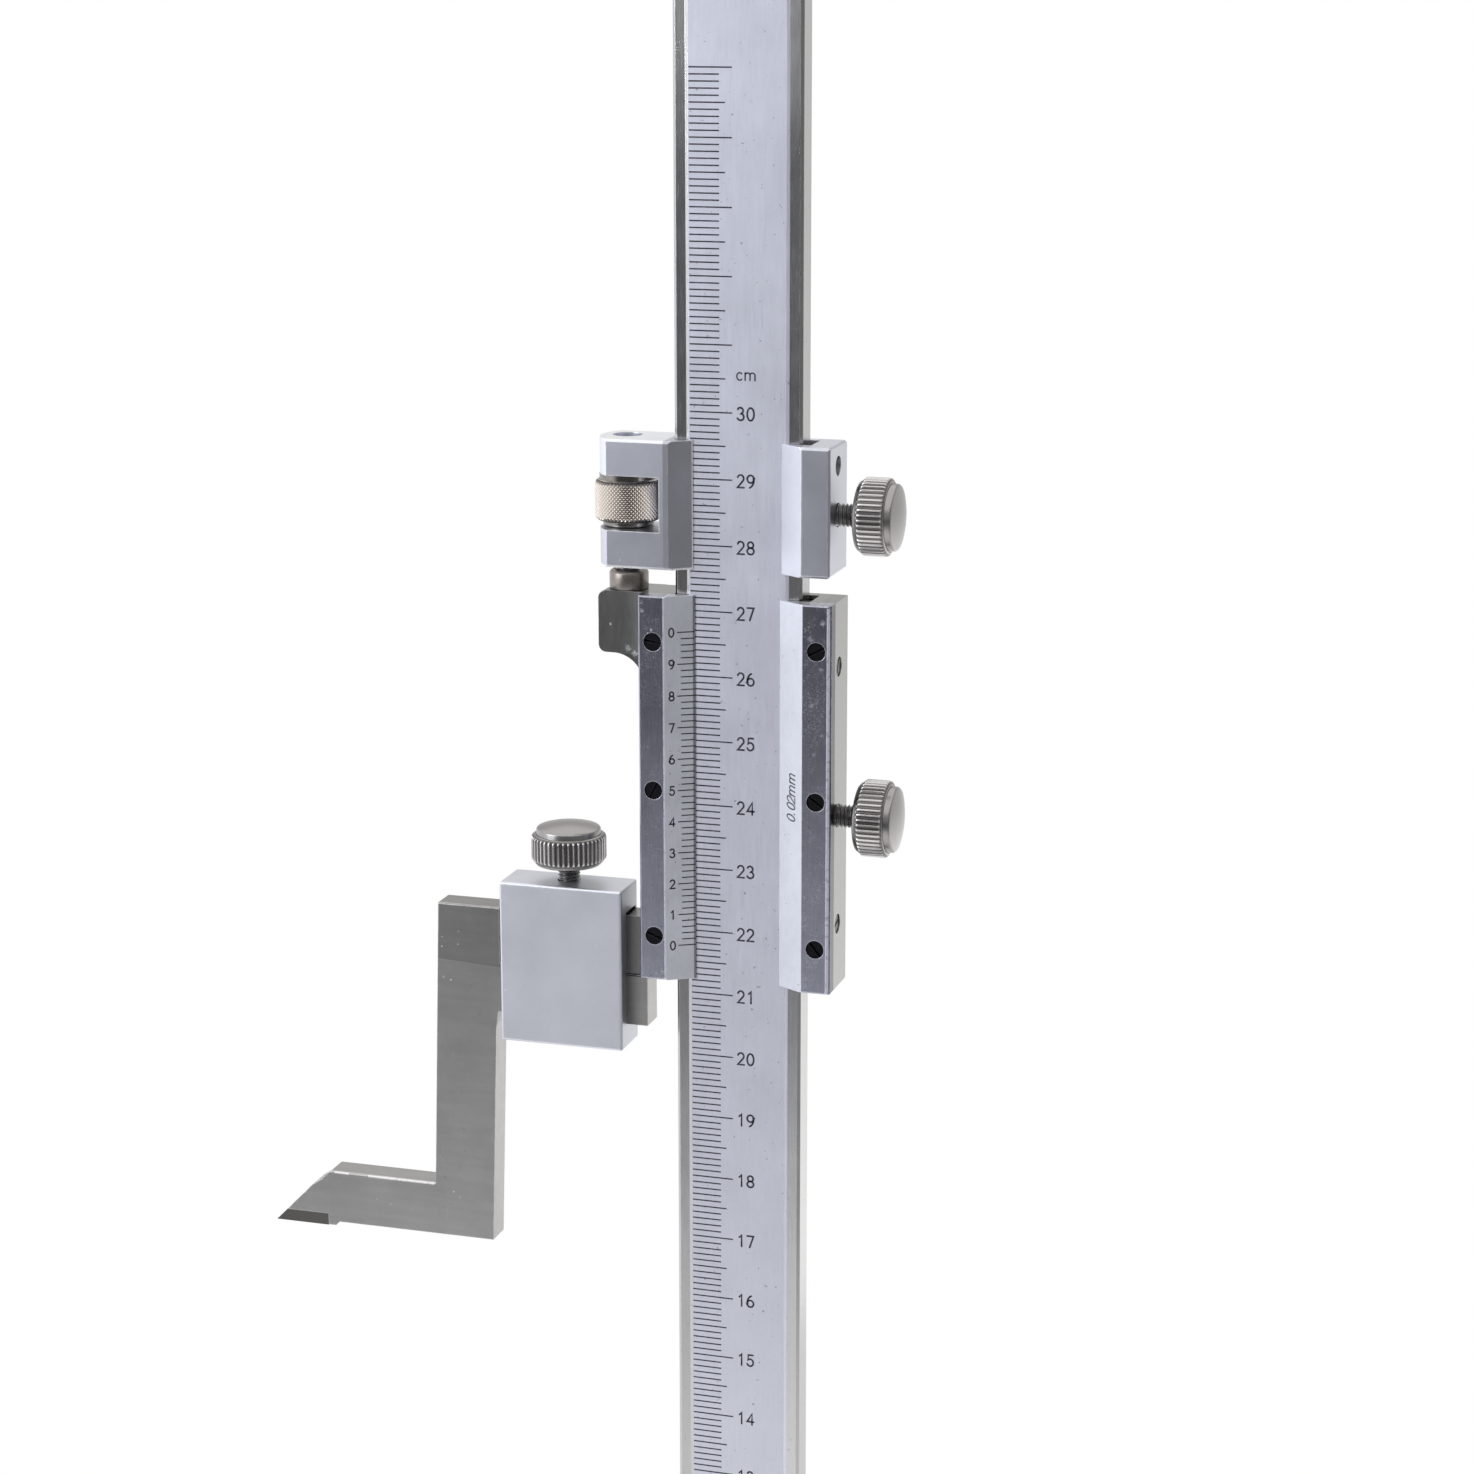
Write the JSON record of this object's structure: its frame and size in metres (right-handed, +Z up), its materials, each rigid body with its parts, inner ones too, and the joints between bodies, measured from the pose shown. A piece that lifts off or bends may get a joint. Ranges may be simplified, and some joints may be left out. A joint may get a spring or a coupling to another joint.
{
  "type": "vernier height gauge",
  "caption": "Vernier height gauge with a graduated steel beam on a heavy base, a vernier slider with fine adjustment and a clamped scriber.",
  "frame": {"origin": "on the base's underside, straight below the middle of the graduated land on the beam's front", "axes": "+X to the right as the scale is read, +Y away from the reader through the beam, +Z up along the beam"},
  "size_m": [0.1407, 0.064, 0.437],
  "materials": {
    "base": "hammered grey enamel on cast iron",
    "satin_chrome": "satin chrome plated steel",
    "ground_steel": "ground hardened steel",
    "tool_steel": "ground tool steel, slightly worn",
    "bright_steel": "turned and polished steel",
    "nickel": "nickel plated steel",
    "screw_steel": "bright steel thread",
    "black_screw": "blackened steel",
    "carbide": "ground carbide",
    "gib_brass": "plain strip",
    "pad_brass": "turned"
  },
  "bodies": {
    "base": {"base": "base", "beam": "satin_chrome", "foot_screws": "black_screw", "beam_set_screws": "black_screw"},
    "carriage": {"carriage_body": "satin_chrome", "carriage_gib": "gib_brass", "carriage_gib_screw": "black_screw"},
    "carriage_pad": {"carriage_clamp_pad": "pad_brass"},
    "carriage_knob": {"carriage_clamp_screw": "screw_steel", "carriage_clamp_knob": "bright_steel"},
    "fine_nut": {"fine_nut": "nickel"},
    "slider": {"slider_body": "ground_steel", "vernier_plate": "satin_chrome", "vernier_screws": "black_screw", "retaining_plate": "satin_chrome", "retaining_screws": "black_screw", "slider_gib": "gib_brass", "slider_gib_screws": "black_screw", "fine_rod": "screw_steel", "rod_collar": "nickel", "rod_pin": "screw_steel"},
    "slider_pad": {"slider_clamp_pad": "pad_brass"},
    "slider_knob": {"slider_clamp_screw": "screw_steel", "slider_clamp_knob": "bright_steel"},
    "scriber_holder": {"scriber_box": "satin_chrome"},
    "box_pad": {"box_clamp_pad": "pad_brass"},
    "box_knob": {"box_clamp_screw": "screw_steel", "box_clamp_knob": "bright_steel"},
    "scriber": {"scriber": "tool_steel", "carbide_tip": "carbide"}
  },
  "joints": [
    {"name": "height_slide", "type": "slide", "parent": "base", "child": "carriage", "axis": [0, 0, 1], "range_m": [-0.2125, 0.082]},
    {"name": "fine_slide", "type": "slide", "parent": "carriage", "child": "slider", "axis": [0, 0, 1], "range_m": [-0.005, 0.001]},
    {"name": "fine_nut_turn", "type": "hinge", "parent": "carriage", "child": "fine_nut", "pos_m": [-0.01805, 0.003, 0.33945], "axis": [0, 0, 1], "range_deg": [-516, 2573]},
    {"name": "holder_slide", "type": "slide", "parent": "slider", "child": "scriber_holder", "axis": [1, 0, 0], "range_m": [-0.005, 0.0028]},
    {"name": "scriber_slide", "type": "slide", "parent": "scriber_holder", "child": "scriber", "axis": [1, 0, 0], "range_m": [-0.006, 0.0008]},
    {"name": "carriage_clamp_turn", "type": "hinge", "parent": "carriage_pad", "child": "carriage_knob", "pos_m": [0.01125, 0.0021, 0.33857], "axis": [1, 0, 0], "range_deg": [0, 541]},
    {"name": "carriage_pad_slide", "type": "slide", "parent": "carriage", "child": "carriage_pad", "axis": [1, 0, 0], "range_m": [0, 0.0009]},
    {"name": "slider_clamp_turn", "type": "hinge", "parent": "slider_pad", "child": "slider_knob", "pos_m": [0.01125, 0.0021, 0.29267], "axis": [1, 0, 0], "range_deg": [0, 541]},
    {"name": "slider_pad_slide", "type": "slide", "parent": "slider", "child": "slider_pad", "axis": [1, 0, 0], "range_m": [0, 0.0009]},
    {"name": "box_clamp_turn", "type": "hinge", "parent": "box_pad", "child": "box_knob", "pos_m": [-0.028, 0.0021, 0.27472], "axis": [0, 0, 1], "range_deg": [0, 541]},
    {"name": "box_pad_slide", "type": "slide", "parent": "scriber_holder", "child": "box_pad", "axis": [0, 0, 1], "range_m": [0, 0.0009]}
  ],
  "couplings": [
    {"joint": "fine_nut_turn", "follows": "fine_slide", "rad_per_m": -8976},
    {"joint": "carriage_clamp_turn", "follows": "carriage_pad_slide", "rad_per_m": 10472},
    {"joint": "slider_clamp_turn", "follows": "slider_pad_slide", "rad_per_m": 10472},
    {"joint": "box_clamp_turn", "follows": "box_pad_slide", "rad_per_m": 10472}
  ]
}
